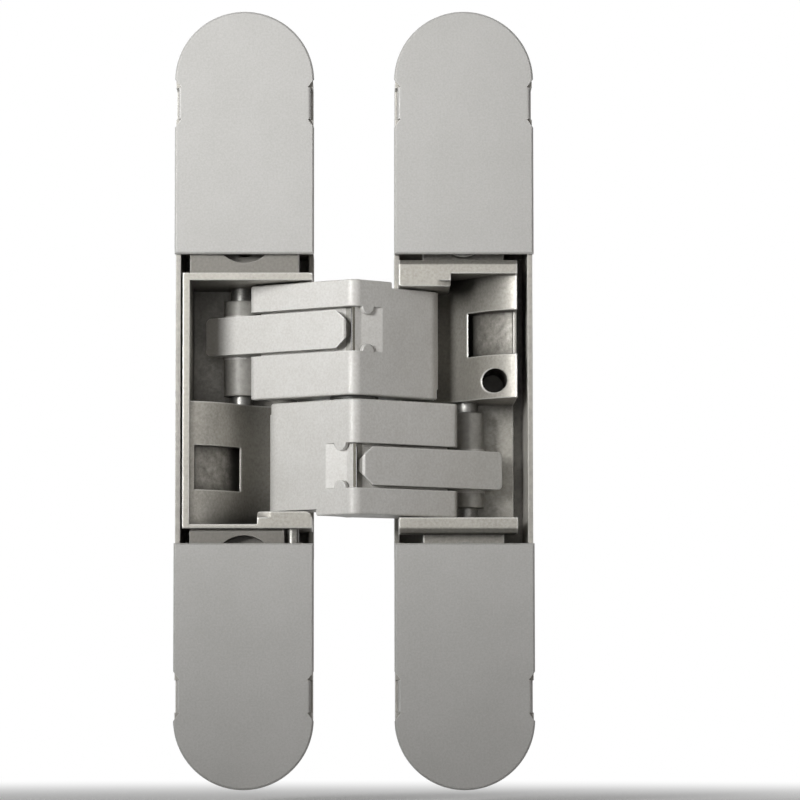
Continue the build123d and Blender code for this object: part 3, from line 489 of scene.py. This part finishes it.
def linkage_surfaces() -> dict[str, Surface]:
    """Lists the surfaces of the arms, the links and what turns inside them."""
    surfaces = {"centre_pin": Surface.PIN, "centre_bush": Surface.BUSH, "centre_washer": Surface.BUSH}
    for level in ("lower", "upper"):
        surfaces.update({
            f"{level}_arm": Surface.ARM,
            f"{level}_link": Surface.LINK,
            f"{level}_arm_bush": Surface.BUSH,
            f"{level}_eye_pin": Surface.PIN,
        })
    return surfaces


def adjuster_surfaces() -> dict[str, Surface]:
    """Lists the surfaces of the height screw and of the height and side clamps."""
    surfaces = {"left_height_screw": Surface.SCREW}
    for end in ("top", "bottom"):
        surfaces.update({
            f"left_block_{end}": Surface.BLOCK,
            f"left_clamp_{end}": Surface.SCREW,
            f"right_clamp_{end}": Surface.SCREW,
        })
    return surfaces


@dataclass
class HeightScrewThread:
    """The visible thread of the height screw, as rings on its shank.

    Attributes:
        pitch_mm: Distance from ring to ring.
        depth_mm: How far a ring stands proud of the shank.
        turns: How many rings show.
        sides: Corners of each ring.
        section_sides: Corners of a ring's own section.
    """

    pitch_mm: float = 0.5
    depth_mm: float = 0.11
    turns: int = 6
    sides: int = 48
    section_sides: int = 8

    def tree(self, material: bpy.types.Material) -> tuple[bpy.types.NodeTree, dict[str, str]]:
        """Builds the ring tree with named inputs.

        Args:
            material: Finish of the rings.

        Returns:
            The tree, and each input's name to its identifier.
        """
        group = bpy.data.node_groups.new("thread_rings", "GeometryNodeTree")
        identifiers = {}
        kinds = {"Radius": "Float", "Depth": "Float", "Pitch": "Float", "Turns": "Int", "Sides": "Int"}
        for name, kind in kinds.items():
            socket = group.interface.new_socket(name, in_out="INPUT", socket_type=f"NodeSocket{kind}")
            identifiers[name] = socket.identifier
        group.interface.new_socket("Geometry", in_out="OUTPUT", socket_type="NodeSocketGeometry")
        given = add_node(group, "NodeGroupInput").outputs
        circle = add_node(group, "GeometryNodeCurvePrimitiveCircle", {
            "Resolution": given["Sides"], "Radius": given["Radius"]}, mode="RADIUS")
        crest = add_node(group, "GeometryNodeCurvePrimitiveCircle", {
            "Resolution": self.section_sides, "Radius": given["Depth"]}, mode="RADIUS")
        ring = add_node(group, "GeometryNodeCurveToMesh", {
            "Curve": circle.outputs["Curve"], "Profile Curve": crest.outputs["Curve"]})
        step = add_node(group, "ShaderNodeCombineXYZ", {"Z": given["Pitch"]})
        line = add_node(group, "GeometryNodeMeshLine", {
            "Count": given["Turns"], "Offset": step.outputs["Vector"]}, mode="OFFSET")
        rings = add_node(group, "GeometryNodeInstanceOnPoints", {
            "Points": line.outputs["Mesh"], "Instance": ring.outputs["Mesh"]})
        whole = add_node(group, "GeometryNodeRealizeInstances", {"Geometry": rings.outputs["Instances"]})
        dressed = add_node(group, "GeometryNodeSetMaterial", {
            "Geometry": whole.outputs["Geometry"], "Material": material})
        add_node(group, "NodeGroupOutput", {"Geometry": dressed.outputs["Geometry"]})
        return group, identifiers

    def build(self, material: bpy.types.Material) -> bpy.types.Object:
        """Makes the rings round the screw's upper end and lets them ride with it.

        Args:
            material: Finish of the rings.

        Returns:
            The thread's object.
        """
        low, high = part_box("left_height_screw")
        radius = (high.x - low.x) / 2
        holder = bpy.data.objects.new("thread_holder", bpy.data.meshes.new("thread_holder"))
        bpy.context.scene.collection.objects.link(holder)
        group, identifiers = self.tree(material)
        maker = holder.modifiers.new("rings", "NODES")
        maker.node_group = group
        for name, value in (("Radius", radius - self.depth_mm * MM), ("Depth", self.depth_mm * MM),
                            ("Pitch", self.pitch_mm * MM), ("Turns", self.turns), ("Sides", self.sides)):
            maker[identifiers[name]] = value
        graph = bpy.context.evaluated_depsgraph_get()
        mesh = bpy.data.meshes.new_from_object(holder.evaluated_get(graph))
        holder.modifiers.remove(maker)
        bpy.data.objects.remove(holder)
        start = high.z - (self.turns + 0.5) * self.pitch_mm * MM
        mesh.transform(Matrix.Translation(((low.x + high.x) / 2, (low.y + high.y) / 2, start)))
        thread = bpy.data.objects.new("height_screw_thread", mesh)
        bpy.context.scene.collection.objects.link(thread)
        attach(thread, "left_carriage")
        LOG.info("height screw: thread of %d rings", self.turns)
        return thread


@dataclass(frozen=True)
class Lamp:
    """A soft rectangular lamp.

    Attributes:
        name: What the lamp does.
        place: Where it stands, in metres.
        aim: Point it faces, in metres.
        size: Side of its square face, in metres.
        watts: Its power.
        tint: Its colour.
        spread: Opening angle of its beam in degrees, so that a narrow one falls off away from its aim.
    """

    name: str
    place: tuple[float, float, float]
    aim: tuple[float, float, float]
    size: float
    watts: float
    tint: str = WHITE
    spread: float = 180.0

    def build(self) -> bpy.types.Object:
        """Places the lamp.

        Returns:
            The lamp's object.
        """
        data = bpy.data.lights.new(self.name, "AREA")
        data.size = self.size
        data.energy = self.watts
        data.spread = math.radians(self.spread)
        data.color = hex_to_linear(self.tint)[:3]
        lamp = bpy.data.objects.new(self.name, data)
        lamp.location = self.place
        lamp.rotation_euler = (Vector(self.aim) - Vector(self.place)).to_track_quat("-Z", "Y").to_euler()
        bpy.context.scene.collection.objects.link(lamp)
        return lamp


@dataclass
class Studio:
    """The pale floor, the soft light and the camera.

    Attributes:
        distance_mm: Camera to the middle of the hinge.
        elevation: Camera's height angle in degrees, below level.
        pixels_per_mm: Size of the hinge in the picture.
        middle_px: Where the hinge's middle falls in the picture.
        ambient: Level of the world's own light.
        floor_room_mm: Room under the hinge, so that a leaf set to its lowest height clears the floor.
        floor_fade_mm: Where the floor starts to turn white, and where it is all white.
        floor_cloud_mm: Size of the floor's faint clouding.
        floor_half: Half the side of the floor, in metres.
        sensor_mm: Width of the camera's sensor.
        near_clip: Nearest point that the camera shows, in metres.
        lamps: The lamps.
    """

    distance_mm: float = 700.0
    elevation: float = -4.4
    pixels_per_mm: float = 5.82
    middle_px: tuple[float, float] = (354.1, 398.5)
    ambient: float = 0.07
    floor_room_mm: float = 2.2
    floor_fade_mm: tuple[float, float] = (60.0, 260.0)
    floor_cloud_mm: float = 400.0
    floor_half: float = 6.0
    sensor_mm: float = 36.0
    near_clip: float = 0.01
    lamps: Sequence[Lamp] = field(default_factory=lambda: (
        Lamp("key", (-0.27, -0.425, 0.1), (-0.03, 0.0, 0.066), 0.17, 0.168, "#FFFFFE", 36.5),
        Lamp("fill", (0.5, -0.6, 0.1), (0.0, 0.0, 0.0), 0.5, 0.32, "#FFF0E2"),
        Lamp("back", (0.2, 0.7, 0.5), (0.0, 0.0, 0.0), 0.6, 3.0),
    ))

    def light(self) -> None:
        """Builds the lamps and a world that shows white and lights softly."""
        for lamp in self.lamps:
            lamp.build()
        world = bpy.data.worlds.new("studio")
        bpy.context.scene.world = world
        world.use_nodes = True
        tree = world.node_tree
        tree.nodes.clear()
        level = remap(tree, seen_by_eye(tree), (0.0, 1.0), (self.ambient, 1.0))
        sky = add_node(tree, "ShaderNodeBackground", {"Color": hex_to_linear(WHITE), "Strength": level})
        add_node(tree, "ShaderNodeOutputWorld", {"Surface": sky.outputs["Background"]})

    def floor(self) -> bpy.types.Object:
        """Lays a wide pale floor under the hinge.

        Returns:
            The floor's object.
        """
        half = self.floor_half
        level = cad_box[0][2] - self.floor_room_mm * MM
        mesh = bpy.data.meshes.new("floor")
        mesh.from_pydata([(-half, -half, level), (half, -half, level), (half, half, level), (-half, half, level)],
                         [], [(0, 1, 2, 3)])
        material = bpy.data.materials.new("pale_floor")
        material.use_nodes = True
        tree = material.node_tree
        tree.nodes.clear()
        place = add_node(tree, "ShaderNodeTexCoord").outputs["Object"]
        cloud = noise(tree, place, self.floor_cloud_mm, *CLOUD_NOISE)
        tone = mix(tree, cloud, hex_to_linear(PALE), hex_to_linear(WHITE))
        shader = add_node(tree, "ShaderNodeBsdfDiffuse", {"Color": tone})
        # Far from the hinge the floor shows as white as the world behind it, and near it keeps the shadow
        reach = add_node(tree, "ShaderNodeVectorMath", {0: place}, operation="LENGTH").outputs["Value"]
        near, white = self.floor_fade_mm
        far = remap(tree, reach, (near * MM, white * MM), interpolation_type="SMOOTHSTEP")
        share = compute(tree, "MULTIPLY", far, seen_by_eye(tree))
        glow = add_node(tree, "ShaderNodeEmission", {"Color": hex_to_linear(WHITE), "Strength": 1.0})
        mixed = add_node(tree, "ShaderNodeMixShader", {
            "Fac": share, 1: shader.outputs["BSDF"], 2: glow.outputs["Emission"]})
        add_node(tree, "ShaderNodeOutputMaterial", {"Surface": mixed.outputs["Shader"]})
        mesh.materials.append(material)
        floor = bpy.data.objects.new("floor", mesh)
        bpy.context.scene.collection.objects.link(floor)
        return floor

    def camera(self) -> bpy.types.Object:
        """Places the camera at the picture's angle.

        Returns:
            The camera's object.
        """
        data = bpy.data.cameras.new("camera")
        data.sensor_width = self.sensor_mm
        data.lens = self.pixels_per_mm * self.distance_mm * self.sensor_mm / PHOTO_SIDE
        data.shift_x = (PHOTO_SIDE / 2 - self.middle_px[0]) / PHOTO_SIDE
        data.shift_y = (self.middle_px[1] - PHOTO_SIDE / 2) / PHOTO_SIDE
        data.clip_start = self.near_clip
        camera = bpy.data.objects.new("camera", data)
        angle = math.radians(self.elevation)
        away = Vector((0.0, -math.cos(angle), math.sin(angle)))
        camera.location = away * self.distance_mm * MM
        camera.rotation_euler = (-away).to_track_quat("-Z", "Y").to_euler()
        bpy.context.scene.collection.objects.link(camera)
        bpy.context.scene.camera = camera
        return camera

    def build(self) -> None:
        """Builds the whole studio."""
        bpy.context.scene.view_settings.view_transform = "Standard"
        self.light()
        self.floor()
        self.camera()
        LOG.info("studio: %d lamps", len(self.lamps))


def main() -> None:
    """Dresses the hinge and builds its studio."""
    logging.basicConfig(level=logging.INFO, format="%(name)s: %(message)s")
    materials = {finish.surface: finish.build() for finish in FINISHES}
    for part in (
        Dressing("left leaf", leaf_surfaces("left")),
        Dressing("right leaf", leaf_surfaces("right")),
        Dressing("linkage", linkage_surfaces()),
        Dressing("adjusters", adjuster_surfaces()),
    ):
        part.dress(materials)
    HeightScrewThread().build(materials[Surface.SCREW])
    Studio().build()


if __name__ == "__main__":
    main()
